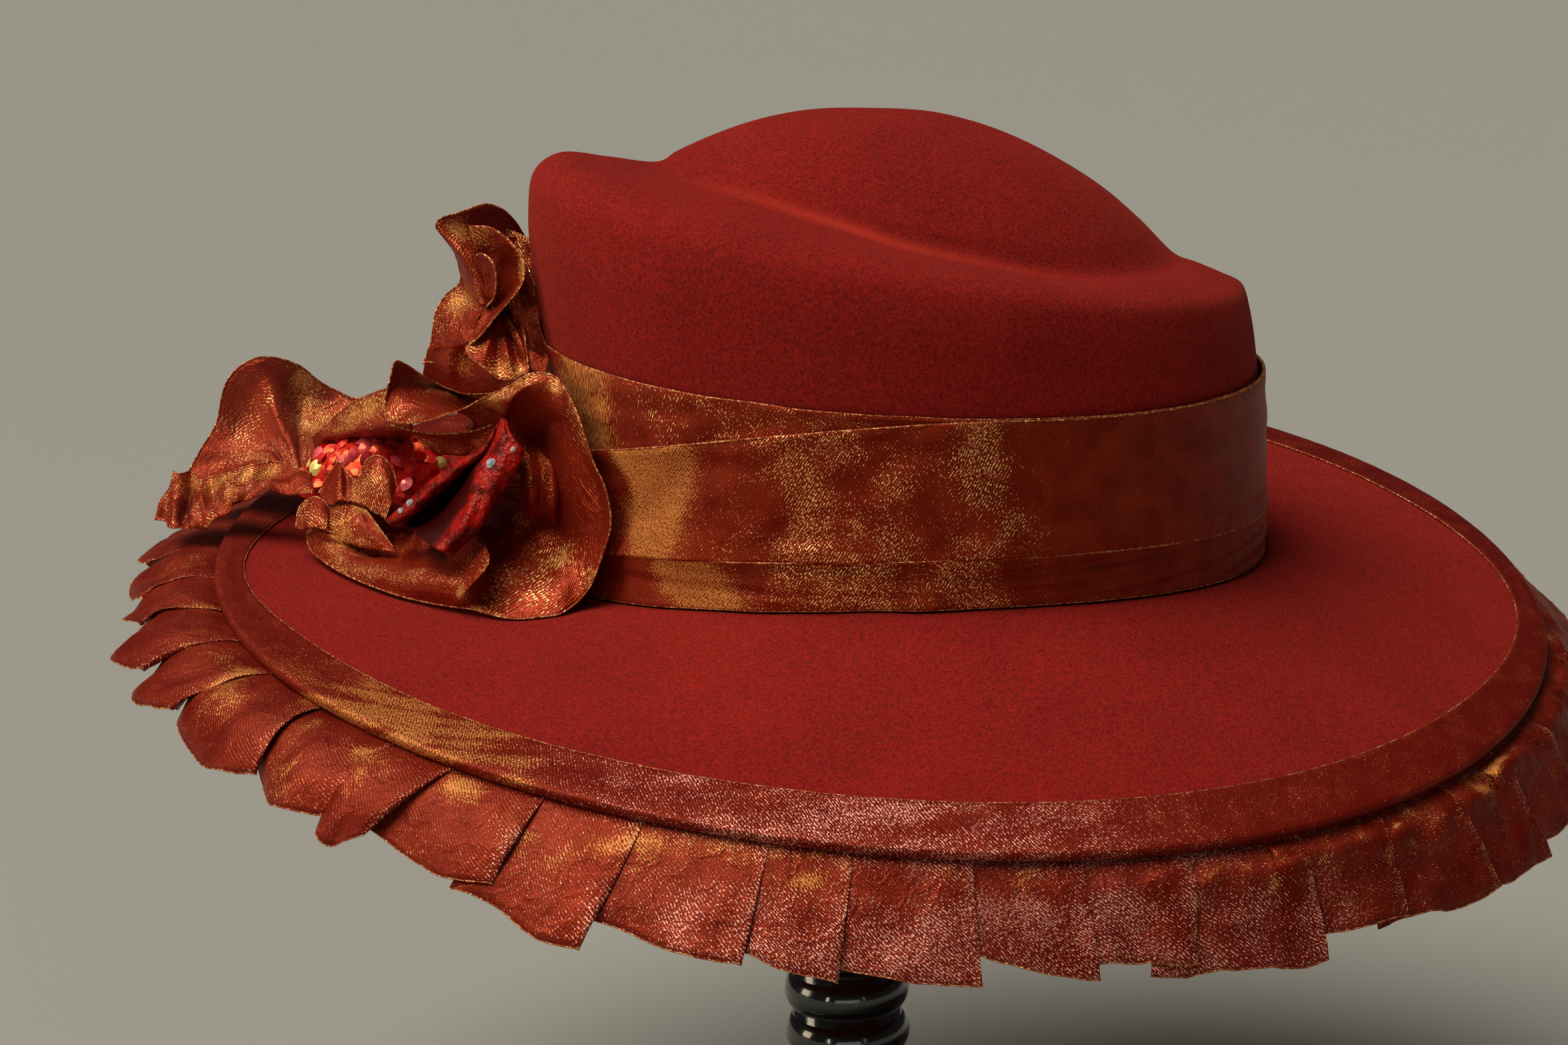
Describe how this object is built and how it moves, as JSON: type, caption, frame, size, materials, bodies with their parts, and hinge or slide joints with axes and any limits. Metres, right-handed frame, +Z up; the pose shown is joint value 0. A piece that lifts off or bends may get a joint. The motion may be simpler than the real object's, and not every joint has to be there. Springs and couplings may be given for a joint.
{
  "type": "wide-brim hat on hat stand",
  "caption": "Felt wide-brim hat with a dented crown, draped organza band, bound and ruffled brim and ribbon flowers, resting on a turned hat stand.",
  "frame": {"origin": "on the stand's axis, on the underside of its foot", "axes": "+X along the hat's length, away from the ribbon flowers; +Y to the hat's far side; +Z up"},
  "size_m": [0.4396, 0.4107, 0.348],
  "materials": {
    "felt": "brushed wool felt",
    "organza": "shot organza, satin sheen",
    "leaf": "gloss red film",
    "sequin": "iridescent gloss",
    "stand": "black gloss lacquer"
  },
  "bodies": {
    "root": {"crown": "felt", "brim": "felt", "hat_band": "organza", "brim_binding": "organza", "brim_ruffle": "organza", "flower_front": "organza", "flower_side": "organza", "flower_back": "organza", "red_leaf": "leaf", "sequin_cluster": "sequin", "stand": "stand"}
  },
  "joints": []
}
